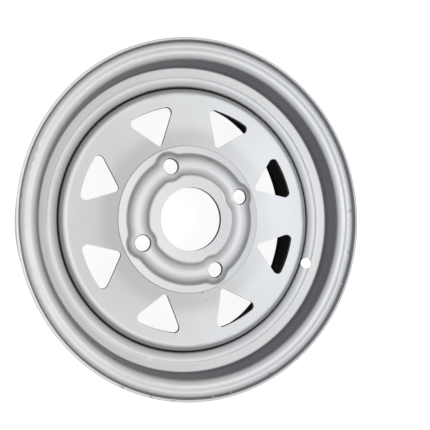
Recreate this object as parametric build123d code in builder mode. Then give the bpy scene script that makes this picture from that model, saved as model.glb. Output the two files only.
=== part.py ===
from build123d import *
import os
from math import cos, radians, sin, sqrt, tan

os.makedirs("parts", exist_ok=True)

# Pressed steel wheel, millimetres. The origin is the centre of the hub face, +Z points outboard.

# Rolled band: 12 inch bead seats, 5 inches between the flange faces
seat_d = 304.0
rim_width = 127.0
hub_offset = 17.0
band_t = 2.4
flange_height = 14.1
flange_reach = 10.5
flange_curl_r = 7.5
lip_edge_r = 0.6
seat_heel_r = 4.5
seat_taper = 5.0
seat_length = 23.0
seat_toe_r = 3.6

# Drop centre: a ledge, a shelf and a side wall on the outboard side, one long ramp on the inboard side
ledge_angle = 42.5
ledge_width = 7.0
ledge_bend_r = 7.5
shelf_angle = 2.0
shelf_width = 6.2
crest_r = 6.8
wall_angle = 50.0
well_depth = 18.1
well_corner_r = 2.0
ramp_angle = 50.0
ramp_foot_r = 8.0
valve_hole_d = 11.3
valve_azimuth = -45.0

# Stamped disc: hub pad, cone with a steeper foot, rounded shoulder and a skirt pressed into the well
disc_t = 3.4
disc_press_gap = 0.05
bore_d = 65.0
pad_margin = 2.35
pad_rise = 0.8
cone_foot_angle = 20.0
cone_foot_width = 16.0
cone_angle = 13.5
cone_bend_r = 90.0
cone_crease_r = 3.0
shoulder_r = 7.0
skirt_drop = 15.0

# Windows through the cone
window_count = 8
window_pad_gap = 2.9
window_skirt_gap = 18.0
window_half_angle = 38.5
window_tip_r = 3.8
window_corner_r = 5.0

# Bolt circle and the raised bead that carries it, with a lobe round each stud hole
stud_count = 4
pcd = 114.3
stud_hole_d = 15.5
nut_seat_d = 17.2
nut_seat_angle = 60.0
bead_inset = 12.65
bead_outset = 9.75
bead_height = 5.4
bead_draft = 40.0
bead_crown_r = 11.5
bead_foot_r = 2.6
lobe_r = 15.2
lobe_blend_r = 9.0

# Weld stitches between the skirt's edge and the well, one between each pair of windows
weld_span = 14.0
weld_leg = 4.0

# How far a cutter stands past the sheet that it cuts, and the half-height that picks edges of one level
cut_overrun = 5.0
level_tol = 0.01

# Tyre-side contour of the band, from the outboard lip to the inboard lip
seat_r = seat_d / 2
lip_r = seat_r + flange_height
face_out_z = rim_width / 2 - hub_offset
face_in_z = -rim_width / 2 - hub_offset
toe_r = seat_r - seat_length * tan(radians(seat_taper))
ledge_r = toe_r - ledge_width
ledge_z = face_out_z - seat_length - ledge_width * tan(radians(ledge_angle))
shelf_r = ledge_r - shelf_width
shelf_z = ledge_z - shelf_width * tan(radians(shelf_angle))
well_r = seat_r - well_depth
well_out_z = shelf_z - (shelf_r - well_r) * tan(radians(wall_angle))
ramp_end_z = face_in_z + seat_length
well_in_z = ramp_end_z + (toe_r - well_r) * tan(radians(ramp_angle))

contour = [
    (lip_r, face_out_z + flange_reach),
    (lip_r, face_out_z),
    (seat_r, face_out_z),
    (toe_r, face_out_z - seat_length),
    (ledge_r, ledge_z),
    (shelf_r, shelf_z),
    (well_r, well_out_z),
    (well_r, well_in_z),
    (toe_r, ramp_end_z),
    (seat_r, face_in_z),
    (lip_r, face_in_z),
    (lip_r, face_in_z - flange_reach),
]
contour_radii = [
    flange_curl_r,
    seat_heel_r,
    seat_toe_r,
    ledge_bend_r,
    crest_r,
    well_corner_r,
    ramp_foot_r,
    seat_toe_r,
    seat_heel_r,
    flange_curl_r,
]

# The valve hole stands square to the crest between the shelf and the side wall
valve_tilt = (shelf_angle + wall_angle) / 2
valve_out = Vector(-sin(radians(valve_tilt)), 0, cos(radians(valve_tilt))).rotate(Axis.Z, valve_azimuth)
valve_foot = Vector(shelf_r, 0, shelf_z).rotate(Axis.Z, valve_azimuth)

with BuildPart() as rim_band:
    with BuildSketch(Plane.XZ) as band_section:
        with BuildLine():
            tyre_side = FilletPolyline(*contour, radius=contour_radii)
            offset(tyre_side, amount=band_t, side=Side.RIGHT)
        make_face()
        lip_ends = band_section.vertices().sort_by(Axis.Y)
        fillet(lip_ends[:2] + lip_ends[-2:], lip_edge_r)
    revolve(axis=Axis.Z)
    with BuildSketch(Plane(origin=valve_foot, z_dir=valve_out)):
        Circle(valve_hole_d / 2)
    extrude(amount=band_t + cut_overrun, both=True, mode=Mode.SUBTRACT)

rim_band.part.label = "rim_band"
export_step(rim_band.part, "parts/rim_band.step")

# Disc sheet, drawn along its outboard face
bore_r = bore_d / 2
stud_r = pcd / 2
pad_r = stud_r + lobe_r + pad_margin
pad_z = disc_t + pad_rise
crease_x = pad_r + pad_rise
cone_bend_x = crease_x + cone_foot_width
cone_bend_z = disc_t + cone_foot_width * tan(radians(cone_foot_angle))
skirt_r = well_r - band_t - disc_press_gap
shoulder_z = cone_bend_z + (skirt_r - cone_bend_x) * tan(radians(cone_angle))

# The pad's profile starts in the middle of the sheet, so the two are one piece
pad_root_z = disc_t / 2

# Inset of the bead's hollow, which keeps the sheet's thickness along the bead's sloping wall
wall_inset = (disc_t / sin(radians(bead_draft)) - pad_z) * tan(radians(bead_draft))


def bead_plan(inset):
    """Plan of the bead's foot: a ring with a blended round lobe at each stud, moved in by the inset."""
    with BuildSketch() as plan:
        Circle(stud_r + bead_outset - inset)
        Circle(stud_r - bead_inset + inset, mode=Mode.SUBTRACT)
        with PolarLocations(stud_r, stud_count):
            Circle(lobe_r - inset)
        fillet(plan.vertices(), lobe_blend_r + inset)
    return plan.sketch


with BuildPart() as bead_crown:
    with BuildSketch(Plane.XY.offset(pad_z)):
        add(bead_plan(0))
    extrude(amount=bead_height, taper=bead_draft)
    fillet(bead_crown.faces().sort_by(Axis.Z)[-1].edges(), bead_crown_r)

with BuildPart() as bead_hollow:
    with BuildSketch():
        add(bead_plan(wall_inset))
    extrude(amount=pad_z + bead_height - disc_t, taper=bead_draft)
    fillet(bead_hollow.faces().sort_by(Axis.Z)[-1].edges(), bead_crown_r - disc_t)

# One window: two straight sides from the apex and an outer side that follows the shoulder
window_apex_r = pad_r + window_pad_gap
window_rim_r = skirt_r - window_skirt_gap
apex_lead = window_apex_r * cos(radians(window_half_angle))
apex_offset = window_apex_r * sin(radians(window_half_angle))
side_length = sqrt(window_rim_r**2 - apex_offset**2) - apex_lead
corner_x = window_apex_r + side_length * cos(radians(window_half_angle))
corner_y = side_length * sin(radians(window_half_angle))

with BuildSketch() as window:
    with BuildLine():
        Polyline((corner_x, corner_y), (window_apex_r, 0), (corner_x, -corner_y))
        ThreePointArc((corner_x, corner_y), (window_rim_r, 0), (corner_x, -corner_y))
    make_face()
    fillet(window.vertices().sort_by(Axis.X)[0], window_tip_r)
    fillet(window.vertices().sort_by(Axis.X)[-2:], window_corner_r)

with BuildPart() as wheel_disc:
    with BuildSketch(Plane.XZ):
        with BuildLine():
            outboard_face = FilletPolyline(
                (bore_r, disc_t),
                (crease_x, disc_t),
                (cone_bend_x, cone_bend_z),
                (skirt_r, shoulder_z),
                (skirt_r, -skirt_drop),
                radius=[cone_crease_r, cone_bend_r, shoulder_r],
            )
            offset(outboard_face, amount=disc_t, side=Side.RIGHT)
        make_face()
        with BuildLine():
            Polyline(
                (bore_r, pad_root_z),
                (crease_x, pad_root_z),
                (crease_x, disc_t),
                (pad_r, pad_z),
                (bore_r, pad_z),
                close=True,
            )
        make_face()
    revolve(axis=Axis.Z)

    add(bead_crown.part)
    crown_edges = wheel_disc.edges(Select.LAST)
    fillet(crown_edges.filter_by_position(Axis.Z, pad_z - level_tol, pad_z + level_tol), bead_foot_r)
    add(bead_hollow.part, mode=Mode.SUBTRACT)
    hollow_edges = wheel_disc.edges(Select.LAST)
    fillet(hollow_edges.filter_by_position(Axis.Z, -level_tol, level_tol), bead_foot_r + disc_t)

    with BuildSketch(Plane.XY.offset(shoulder_z)):
        with PolarLocations(0, window_count):
            add(window.sketch)
    extrude(amount=-shoulder_z - cut_overrun, mode=Mode.SUBTRACT)

    with Locations(Plane.XY.offset(pad_z + bead_height)):
        with PolarLocations(stud_r, stud_count):
            CounterSinkHole(stud_hole_d / 2, nut_seat_d / 2, counter_sink_angle=nut_seat_angle)

wheel_disc.part.label = "wheel_disc"
export_step(wheel_disc.part, "parts/wheel_disc.step")

# One fillet weld stitch, centred on the X axis, then repeated half a window pitch from each window
window_pitch = 360 / window_count

with BuildPart() as stitch:
    with BuildSketch(Plane.XZ.rotated((0, 0, -weld_span / 2))):
        with BuildLine():
            Polyline(
                (skirt_r - disc_t, -skirt_drop),
                (well_r - band_t, -skirt_drop),
                (well_r - band_t, -skirt_drop - weld_leg),
                close=True,
            )
        make_face()
    revolve(axis=Axis.Z, revolution_arc=weld_span)

with BuildPart() as weld_beads:
    with PolarLocations(0, window_count, start_angle=window_pitch / 2):
        add(stitch.part)

weld_beads.part.label = "weld_beads"
export_step(weld_beads.part, "parts/weld_beads.step")
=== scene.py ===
import math

import bmesh
import bpy
import numpy as np
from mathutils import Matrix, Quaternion, Vector


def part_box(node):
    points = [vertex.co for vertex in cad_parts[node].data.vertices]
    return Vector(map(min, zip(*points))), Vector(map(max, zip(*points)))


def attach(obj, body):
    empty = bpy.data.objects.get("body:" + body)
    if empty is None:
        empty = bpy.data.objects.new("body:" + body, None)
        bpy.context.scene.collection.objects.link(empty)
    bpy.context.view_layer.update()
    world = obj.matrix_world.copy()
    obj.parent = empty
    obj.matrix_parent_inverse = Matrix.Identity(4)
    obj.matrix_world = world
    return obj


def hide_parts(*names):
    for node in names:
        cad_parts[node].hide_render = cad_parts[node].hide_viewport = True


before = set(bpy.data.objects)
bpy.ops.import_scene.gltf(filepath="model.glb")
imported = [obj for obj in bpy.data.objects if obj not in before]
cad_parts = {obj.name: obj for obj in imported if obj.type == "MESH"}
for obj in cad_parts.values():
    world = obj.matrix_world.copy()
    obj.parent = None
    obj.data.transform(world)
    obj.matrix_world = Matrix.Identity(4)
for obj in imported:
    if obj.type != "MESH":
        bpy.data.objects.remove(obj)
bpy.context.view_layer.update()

# Places on the wheel, metres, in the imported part's frame: the axle is Z and the hub face is z = 0
FLOOR_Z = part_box("rim_band")[0].z
SHOULDER_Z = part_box("wheel_disc")[1].z
SKIRT_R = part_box("wheel_disc")[1].x
WELD_TOP_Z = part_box("weld_beads")[1].z
WELD_FOOT_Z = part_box("weld_beads")[0].z

# Gap between the disc's skirt and the band that it is pressed into
PRESS_GAP = 0.00005

# Camera: the point that it looks at, how it stands from there, and its lens
AIM = Vector((0.0269, -0.0073, 0.0))
CAMERA_DISTANCE = 0.5033
CAMERA_AZIMUTH = 160.62
CAMERA_ELEVATION = 67.02
CAMERA_ROLL = 85.0
SENSOR_WIDTH = 36.0
FOCAL_PIXELS = 480.0
IMAGE_PIXELS = 430.0
CLIP_START = 0.01

# Lamps: two square softboxes high above the wheel, turned to its hub
HUB = Vector((0.0, 0.0, 0.0))
LAMP_WIDTH = 0.85
WARM_PLACE = Vector((-0.43, 0.19, 1.5))
WARM_WATTS = 1.6
WARM_COLOUR = (1.0, 1.0, 0.93)
COOL_PLACE = Vector((0.20, -0.10, 1.5))
COOL_WATTS = 3.5
COOL_COLOUR = (0.94, 0.96, 1.0)

# Sky: its colour, and its strength as plain light, where 1 is how it looks to the camera and in reflections
SKY_WHITE = (1.0, 1.0, 1.0, 1.0)
SKY_LIGHT = 0.12

# Floor: its size and colours, how far out the wheel keeps the light off it, and where it turns lighter
FLOOR_SIZE = 12.0
FLOOR_WHITE = (0.9, 0.9, 0.9, 1.0)
FLOOR_BOUNCE = (0.3, 0.3, 0.3, 1.0)
FLOOR_GLOW = (0.91, 0.91, 0.91, 1.0)
FLOOR_FAR_GLOW = (0.97, 0.97, 0.97, 1.0)
SHADED_R = (0.150, 0.166)
GLOW_R = (0.3, 1.8)

# Silver paint and its duller tone, then colours painted in as shade, light, cooler light and highlights,
# and a dark for marks
PAINT = (0.53, 0.535, 0.525, 1.0)
PAINT_DULL = (0.48, 0.485, 0.48, 1.0)
# Painted shade on the seat wall and on the lip's inner edge
PAINT_SHADED = (0.25, 0.255, 0.27, 1.0)
# Deeper painted shade at the seat wall's toe
PAINT_TOE_SHADE = (0.18, 0.18, 0.19, 1.0)
# Painted light on the ledge and on the flange
PAINT_LIT = (0.74, 0.745, 0.75, 1.0)
# Painted cooler light on one side of the wheel
PAINT_COOL_LIGHT = (0.51, 0.52, 0.545, 1.0)
# Painted shade inside the barrel
PAINT_INSIDE_SHADE = (0.16, 0.16, 0.165, 1.0)
# Painted highlight on the highlight spots and on the nicks' glints
PAINT_HIGHLIGHT = (0.8, 0.8, 0.8, 1.0)
# Painted shade in the crevice between the disc's skirt and the band
CREVICE_SHADE = (0.23, 0.23, 0.235, 1.0)
# Dark of the grime specks, also used to darken the nicks and the roll line
DARK_MARK = (0.24, 0.23, 0.22, 1.0)

# How strongly each layer covers what is below it, where 1 is fully
CLOUD_COVER = 0.35
FLAKE_COVER = 0.35
COOL_LIGHT_COVER = 0.8
FLANGE_LIGHT_COVER = 0.5
LIP_SHADE_COVER = 0.9
ROLL_LINE_COVER = 0.3
NICK_COVER = 0.6
GRIME_COVER = 0.5
HIGHLIGHT_SPOT_COVER = 0.4
GLINT_COVER = 0.8

# Gloss and relief of the coat, the relief in metres, so that its unit is one metre
METALLIC = 1.0
PAINT_ROUGHNESS = 0.46
CLOUD_ROUGHNESS = 0.06
GRIME_ROUGHNESS = 0.1
PEEL_HEIGHT = 0.00001
ROLL_LINE_DEPTH = 0.00004
NICK_DEPTH = 0.0006
RELIEF_UNIT = 1.0

# Noise: about how many lumps fit in a metre and how many finer levels it has, and its middle value
CLOUD_NOISE = (22.0, 3.0)
FLAKE_NOISE = (1800.0, 1.0)
PEEL_NOISE = (420.0, 2.0)
HIGHLIGHT_SPOT_NOISE = (500.0, 2.0)
NICK_NOISE = (900.0, 2.0)
GLINT_NOISE = (700.0, 1.0)
NOISE_MIDDLE = 0.5

# Between which two values of its noise a mark begins to show
NICK_EDGE = (0.40, 0.52)
GLINT_EDGE = (0.50, 0.56)

# Bands of the wheel by radius and by height, where shade, light and the roll line are painted, each given
# by where its edges start and end
SEAT_WALL_R = (0.1462, 0.1474, 0.1497, 0.1503)
SEAT_WALL_Z = (0.0225, 0.0282, 0.0425, 0.0465)
SEAT_TOE_Z = (0.0235, 0.0262, 0.0280, 0.0335)
LIP_WALL_R = (0.1626, 0.1634, 0.1641, 0.1644)
LIP_WALL_Z = (0.0495, 0.0520, 0.0555, 0.0566)
LEDGE_R = (0.1412, 0.1440, 0.1480, 0.1490)
LEDGE_Z = (0.0150, 0.0170, 0.0240, 0.0262)
FLANGE_R = (0.1536, 0.1562, 0.1574, 0.1600)
FLANGE_Z = (0.0478, 0.0484, 0.0500, 0.0506)
CREVICE_R = (SKIRT_R - 0.0045, SKIRT_R - 0.0025, SKIRT_R + 0.0010, SKIRT_R + 0.0021)
CREVICE_Z = (SHOULDER_Z - 0.0005, SHOULDER_Z - 0.0055)
INSIDE_Z = (-0.0005, -0.0030)
ROLL_LINE_R = 0.1403
ROLL_LINE_REACH = 0.0005
ROLL_LINE_Z = (0.0180, 0.0185, 0.0220, 0.0230)

# How far a face has to turn to the axle to lie inside, the side where cooler light is painted, and where
# that painted tint rises
INWARD = (0.05, 0.25)
COOL_LIGHT_SIDE = (0.91, -0.42, 0.0)
COOL_LIGHT_REACH = (-0.10, 0.14)

# Marks on the paint: a point and how far it reaches, and the share of the reach that is fully marked
MARK_CORE = 0.3
GRIME_SPOTS = [
    ((-0.0210, -0.0733, 0.0037), 0.0017),
    ((-0.0205, -0.0815, 0.0065), 0.0010),
    ((-0.0942, 0.0289, 0.0109), 0.0008),
    ((0.0108, 0.0798, 0.0053), 0.0008),
]
NICKS = [
    ((0.1512, -0.0594, 0.0507), 0.0016),
    ((0.1300, -0.0978, 0.0509), 0.0020),
    ((0.1264, -0.1036, 0.0523), 0.0014),
    ((0.1071, -0.1234, 0.0522), 0.0018),
    ((-0.0051, -0.1625, 0.0509), 0.0018),
    ((-0.0485, -0.1563, 0.0538), 0.0024),
    ((-0.0657, -0.1499, 0.0542), 0.0028),
    ((-0.0797, -0.1429, 0.0547), 0.0022),
    ((-0.0999, -0.1313, 0.0570), 0.0024),
    ((-0.1153, -0.1173, 0.0570), 0.0022),
    ((-0.1338, -0.0965, 0.0570), 0.0026),
    ((-0.1397, 0.0824, 0.0504), 0.0016),
]
# Painted highlight spots: a point and how far each reaches
HIGHLIGHT_SPOTS = [
    ((-0.0987, -0.1001, 0.0195), 0.0040),
    ((0.1307, -0.0139, 0.0120), 0.0012),
]

# Weld stitches in the corner between the skirt's edge and the band, with a row of ripples each
STITCH_COUNT = 8
STITCH_PITCH = math.tau / STITCH_COUNT
STITCH_FIRST = STITCH_PITCH / 2
STITCH_SPAN = math.radians(14.0)
STITCH_ROOT_R = SKIRT_R + PRESS_GAP
STITCH_WIDTH = 0.00345
STITCH_DEPTH = WELD_TOP_Z - WELD_FOOT_Z
STITCH_FLAT = 0.95
STITCH_BULGE = 0.12
STITCH_RIPPLES = 17
STITCH_RIPPLE_DEPTH = 0.16
STITCH_END_POWER = 8
STITCH_ROWS = 137
STITCH_SIDES = 14
SAME_PLACE = 1e-7


class Field:
    """A number or a vector that varies over a surface, held by one socket. Maths on it adds nodes."""

    def __init__(self, shader, socket):
        self.shader = shader
        self.socket = socket

    def maths(self, operation, *operands):
        return self.shader.node("ShaderNodeMath", {"operation": operation}, dict(enumerate(operands)))

    def __add__(self, other):
        return self.maths("ADD", self, other)

    def __sub__(self, other):
        return self.maths("SUBTRACT", self, other)

    def __rsub__(self, other):
        return self.maths("SUBTRACT", other, self)

    def __mul__(self, other):
        return self.maths("MULTIPLY", self, other)

    def __truediv__(self, other):
        return self.maths("DIVIDE", self, other)

    def __pow__(self, other):
        return self.maths("POWER", self, other)

    __radd__ = __add__
    __rmul__ = __mul__

    def largest(self, other):
        return self.maths("MAXIMUM", self, other)

    def step(self, low, high):
        """0 at low, 1 at high, a smooth rise between them and flat past both. low may be the larger."""
        if low > high:
            return 1 - self.step(high, low)
        ends = {"Value": self, "From Min": low, "From Max": high}
        return self.shader.node("ShaderNodeMapRange", {"interpolation_type": "SMOOTHSTEP"}, ends)

    def within(self, start, full, last, end):
        """1 from full to last, falling smoothly to 0 at start and at end."""
        return self.step(start, full) * self.step(end, last)

    def near(self, centre, reach):
        """1 at the centre value, falling smoothly to 0 at reach to either side."""
        return self.maths("ABSOLUTE", self - centre).step(reach, 0.0)

    def split(self):
        """The X, Y and Z of a vector."""
        x = self.shader.node("ShaderNodeSeparateXYZ", {}, {"Vector": self})
        return x, x.out("Y"), x.out("Z")

    def out(self, name):
        """Another output of the node that this field comes from."""
        return Field(self.shader, self.socket.node.outputs[name])


class Shader:
    """A node tree of a material or of the world, with one method that makes every node."""

    def __init__(self, owner):
        owner.use_nodes = True
        self.tree = owner.node_tree
        self.tree.nodes.clear()

    def node(self, kind, settings=None, values=None, output=0):
        """Adds a node, sets it, then gives each named socket its value or its link."""
        made = self.tree.nodes.new(kind)
        for key, value in (settings or {}).items():
            setattr(made, key, value)
        for key, value in (values or {}).items():
            if isinstance(value, Field):
                self.tree.links.new(value.socket, made.inputs[key])
            else:
                made.inputs[key].default_value = value
        return Field(self, made.outputs[output]) if made.outputs else None

    def vector_maths(self, operation, first, second):
        """The number that comes of two vectors, such as their distance."""
        return self.node("ShaderNodeVectorMath", {"operation": operation}, {0: first, 1: second}, "Value")

    def blend(self, amount, first, second):
        """The colour first where amount is 0 and second where it is 1."""
        ends = {"Factor": amount, "A": first, "B": second}
        return self.node("ShaderNodeMix", {"data_type": "RGBA"}, ends, "Result")

    def noise(self, place, scale, detail):
        """Soft noise from 0 to 1, with about scale lumps in a metre and detail finer levels."""
        return self.node("ShaderNodeTexNoise", {}, {"Vector": place, "Scale": scale, "Detail": detail})

    def spots(self, place, marks):
        """1 in the core of each mark, given as its point and reach, and 0 outside them all."""
        amount = None
        for point, reach in marks:
            spot = self.vector_maths("DISTANCE", place, point).step(reach, reach * MARK_CORE)
            amount = spot if amount is None else amount.largest(spot)
        return amount


def from_axle(x, y):
    """Distance from the wheel's axle."""
    return (x * x + y * y) ** 0.5


def mirrored(ray):
    """1 for a ray that comes by a reflection or through something clear."""
    return ray.out("Is Glossy Ray").largest(ray.out("Is Transmission Ray"))


def silver_paint(name):
    """Satin silver paint with fine flakes, faint clouding and orange peel, painted shade, light and
    highlights, and dark specks, nicks and a roll line.
    """
    material = bpy.data.materials.new(name)
    shader = Shader(material)
    place = shader.node("ShaderNodeTexCoord", output="Object")
    x, y, height = place.split()
    radius = from_axle(x, y)
    facing_x, facing_y, _ = place.out("Normal").split()
    inward = 0 - (facing_x * x + facing_y * y) / radius
    # Painted cooler light, rising towards one side of the wheel
    cool_light_side = shader.vector_maths("DOT_PRODUCT", place, COOL_LIGHT_SIDE).step(*COOL_LIGHT_REACH)
    cloud = shader.noise(place, *CLOUD_NOISE)
    flake = shader.noise(place, *FLAKE_NOISE)
    peel = shader.noise(place, *PEEL_NOISE)

    inner = inward.step(*INWARD)
    # Painted shade on the seat wall, deeper at its toe, and on the lip's inner edge
    seat_wall = inner * radius.within(*SEAT_WALL_R) * height.within(*SEAT_WALL_Z)
    toe = seat_wall * height.within(*SEAT_TOE_Z)
    lip_wall = inner * radius.within(*LIP_WALL_R) * height.within(*LIP_WALL_Z)
    # Painted light on the ledge and, on the side with cooler light, on the flange
    ledge = inner * radius.within(*LEDGE_R) * height.within(*LEDGE_Z)
    flange = cool_light_side * radius.within(*FLANGE_R) * height.within(*FLANGE_Z)
    # Painted shade in the crevice between the skirt and the band
    crevice = radius.within(*CREVICE_R) * height.step(*CREVICE_Z)
    # Painted shade inside the barrel, on faces turned to the axle below the hub face
    inside = inner * height.step(*INSIDE_Z)
    roll_line = radius.near(ROLL_LINE_R, ROLL_LINE_REACH) * height.within(*ROLL_LINE_Z)
    grime = shader.spots(place, GRIME_SPOTS)
    # Painted highlight spots
    highlight_spot = shader.spots(place, HIGHLIGHT_SPOTS) * shader.noise(place, *HIGHLIGHT_SPOT_NOISE)
    nicked = shader.spots(place, NICKS)
    nick = nicked * shader.noise(place, *NICK_NOISE).step(*NICK_EDGE)
    # A painted glint on the nicks
    glint = nicked * shader.noise(place, *GLINT_NOISE).step(*GLINT_EDGE)

    # Darker at the grime specks, in the nicks and along the roll line
    darkening = ROLL_LINE_COVER * roll_line + NICK_COVER * nick + GRIME_COVER * grime
    colour = shader.blend(CLOUD_COVER * cloud + FLAKE_COVER * flake, PAINT, PAINT_DULL)
    # Over the paint's own tone: painted cooler light, painted light, painted shade, the dark marks and
    # painted highlights
    colour = shader.blend(COOL_LIGHT_COVER * cool_light_side, colour, PAINT_COOL_LIGHT)
    colour = shader.blend(ledge.largest(FLANGE_LIGHT_COVER * flange), colour, PAINT_LIT)
    colour = shader.blend(seat_wall.largest(LIP_SHADE_COVER * lip_wall), colour, PAINT_SHADED)
    colour = shader.blend(toe, colour, PAINT_TOE_SHADE)
    colour = shader.blend(inside, colour, PAINT_INSIDE_SHADE)
    colour = shader.blend(crevice, colour, CREVICE_SHADE)
    colour = shader.blend(darkening, colour, DARK_MARK)
    colour = shader.blend(HIGHLIGHT_SPOT_COVER * highlight_spot + GLINT_COVER * glint, colour, PAINT_HIGHLIGHT)

    roughness = PAINT_ROUGHNESS + CLOUD_ROUGHNESS * (cloud - NOISE_MIDDLE) + GRIME_ROUGHNESS * grime
    relief = PEEL_HEIGHT * peel - ROLL_LINE_DEPTH * roll_line - NICK_DEPTH * nick
    bump = shader.node("ShaderNodeBump", {}, {"Height": relief, "Distance": RELIEF_UNIT})
    finish = {"Base Color": colour, "Metallic": METALLIC, "Roughness": roughness, "Normal": bump}
    surface = shader.node("ShaderNodeBsdfPrincipled", {}, finish)
    shader.node("ShaderNodeOutputMaterial", {}, {"Surface": surface})
    return material


def weld_stitches(name, paint):
    """Ripple-faced fillet welds, one between each pair of windows, in one mesh.

    Along a stitch, u runs from 0 to 1. Its section is a fan of angle v from the corner where the two sheets
    meet. The fan's reach is the flat share times a straight fillet's 1 / (cos v + sin v), and the bulge
    times sin(2 v) on top of it. Both are multiplied by the ripple, 1 less the ripple's depth times
    |sin(pi u ripples)|, and by the taper of the ends, the square root of 1 less (2 u - 1) to the end power.
    """
    u = np.linspace(0.0, 1.0, STITCH_ROWS)[:, None]
    v = np.linspace(0.0, math.pi / 2, STITCH_SIDES)[None, :]
    taper = np.sqrt(np.clip(1.0 - (2.0 * u - 1.0) ** STITCH_END_POWER, 0.0, 1.0))
    ripple = 1.0 - STITCH_RIPPLE_DEPTH * np.abs(np.sin(math.pi * STITCH_RIPPLES * u))
    section = STITCH_FLAT / (np.cos(v) + np.sin(v)) + STITCH_BULGE * np.sin(2.0 * v)
    reach = section * ripple * taper
    ring = STITCH_ROOT_R - STITCH_WIDTH * reach * np.cos(v)
    level = WELD_TOP_Z - STITCH_DEPTH * reach * np.sin(v)
    ring = np.concatenate([np.full_like(u, STITCH_ROOT_R), ring], axis=1)
    level = np.concatenate([np.full_like(u, WELD_TOP_Z), level], axis=1)
    middle = STITCH_FIRST + STITCH_PITCH * np.arange(STITCH_COUNT)[:, None, None]
    angle = middle + STITCH_SPAN * (u - 0.5)[None]
    places = np.stack(np.broadcast_arrays(ring * np.cos(angle), ring * np.sin(angle), level), axis=-1)

    across = ring.shape[1]
    row = np.arange(STITCH_ROWS - 1)[:, None] * across
    side = np.arange(across)[None, :]
    next_side = (side + 1) % across
    quads = [row + side, row + next_side, row + across + next_side, row + across + side]
    first_corner = (np.arange(STITCH_COUNT) * STITCH_ROWS * across)[:, None, None]
    quads = np.stack(quads, axis=-1).reshape(1, -1, 4) + first_corner

    mesh = bpy.data.meshes.new(name)
    mesh.from_pydata(places.reshape(-1, 3).tolist(), [], quads.reshape(-1, 4).tolist())
    form = bmesh.new()
    form.from_mesh(mesh)
    bmesh.ops.remove_doubles(form, verts=form.verts, dist=SAME_PLACE)
    bmesh.ops.recalc_face_normals(form, faces=form.faces)
    form.to_mesh(mesh)
    form.free()
    mesh.polygons.foreach_set("use_smooth", np.ones(len(mesh.polygons), dtype=bool))
    mesh.materials.append(paint)
    welds = bpy.data.objects.new(name, mesh)
    bpy.context.scene.collection.objects.link(welds)
    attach(welds, "root")
    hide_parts("weld_beads")


def pale_floor():
    """Near white to the camera and in reflections, where the wheel's shadow still shows."""
    material = bpy.data.materials.new("pale_floor")
    shader = Shader(material)
    ray = shader.node("ShaderNodeLightPath", output="Is Camera Ray")
    place = shader.node("ShaderNodeTexCoord", output="Object")
    x, y, _ = place.split()
    radius = from_axle(x, y)
    seen = ray.largest(mirrored(ray) * radius.step(*SHADED_R))
    lit_colour = shader.blend(ray, FLOOR_BOUNCE, FLOOR_WHITE)
    glow_colour = shader.blend(radius.step(*GLOW_R), FLOOR_GLOW, FLOOR_FAR_GLOW)
    lit = shader.node("ShaderNodeBsdfDiffuse", {}, {"Color": lit_colour})
    glow = shader.node("ShaderNodeEmission", {}, {"Color": glow_colour, "Strength": seen})
    surface = shader.node("ShaderNodeAddShader", {}, {0: lit, 1: glow})
    shader.node("ShaderNodeOutputMaterial", {}, {"Surface": surface})
    return material


def flat_floor():
    """A square of four corners under the wheel."""
    half = FLOOR_SIZE / 2
    corners = [(-half, -half), (half, -half), (half, half), (-half, half)]
    mesh = bpy.data.meshes.new("floor")
    mesh.from_pydata([(x, y, FLOOR_Z) for x, y in corners], [], [(0, 1, 2, 3)])
    mesh.materials.append(pale_floor())
    floor = bpy.data.objects.new("floor", mesh)
    bpy.context.scene.collection.objects.link(floor)


def pale_world():
    """White to the camera and in reflections, and a weak even light on everything else."""
    world = bpy.data.worlds.new("pale_world")
    bpy.context.scene.world = world
    shader = Shader(world)
    ray = shader.node("ShaderNodeLightPath", output="Is Camera Ray")
    strength = SKY_LIGHT + (1 - SKY_LIGHT) * ray.largest(mirrored(ray))
    sky = shader.node("ShaderNodeBackground", {}, {"Color": SKY_WHITE, "Strength": strength})
    shader.node("ShaderNodeOutputWorld", {}, {"Surface": sky})


def soft_light(name, place, watts, colour):
    """A square studio lamp that faces the hub."""
    lamp = bpy.data.lights.new(name, "AREA")
    lamp.shape = "SQUARE"
    lamp.size = LAMP_WIDTH
    lamp.energy = watts
    lamp.color = colour
    softbox = bpy.data.objects.new(name, lamp)
    softbox.location = place
    softbox.rotation_mode = "QUATERNION"
    softbox.rotation_quaternion = (HUB - place).to_track_quat("-Z", "Y")
    bpy.context.scene.collection.objects.link(softbox)


def place_camera():
    """Puts the camera at its distance from the aim point and turns it about its line of sight."""
    azimuth = math.radians(CAMERA_AZIMUTH)
    elevation = math.radians(CAMERA_ELEVATION)
    level = math.cos(elevation)
    outward = Vector((level * math.cos(azimuth), level * math.sin(azimuth), math.sin(elevation)))
    roll = Quaternion((0, 0, 1), math.radians(CAMERA_ROLL))
    optics = bpy.data.cameras.new("camera")
    optics.sensor_width = SENSOR_WIDTH
    optics.lens = SENSOR_WIDTH * FOCAL_PIXELS / IMAGE_PIXELS
    optics.clip_start = CLIP_START
    camera = bpy.data.objects.new("camera", optics)
    camera.location = AIM + CAMERA_DISTANCE * outward
    camera.rotation_mode = "QUATERNION"
    camera.rotation_quaternion = (-outward).to_track_quat("-Z", "Y") @ roll
    bpy.context.scene.collection.objects.link(camera)
    bpy.context.scene.camera = camera


paint = silver_paint("silver_paint")
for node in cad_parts.values():
    node.data.materials.clear()
    node.data.materials.append(paint)
weld_stitches("weld_stitches", paint)

flat_floor()
pale_world()
soft_light("warm_light", WARM_PLACE, WARM_WATTS, WARM_COLOUR)
soft_light("cool_light", COOL_PLACE, COOL_WATTS, COOL_COLOUR)
place_camera()
bpy.context.scene.view_settings.view_transform = "Standard"
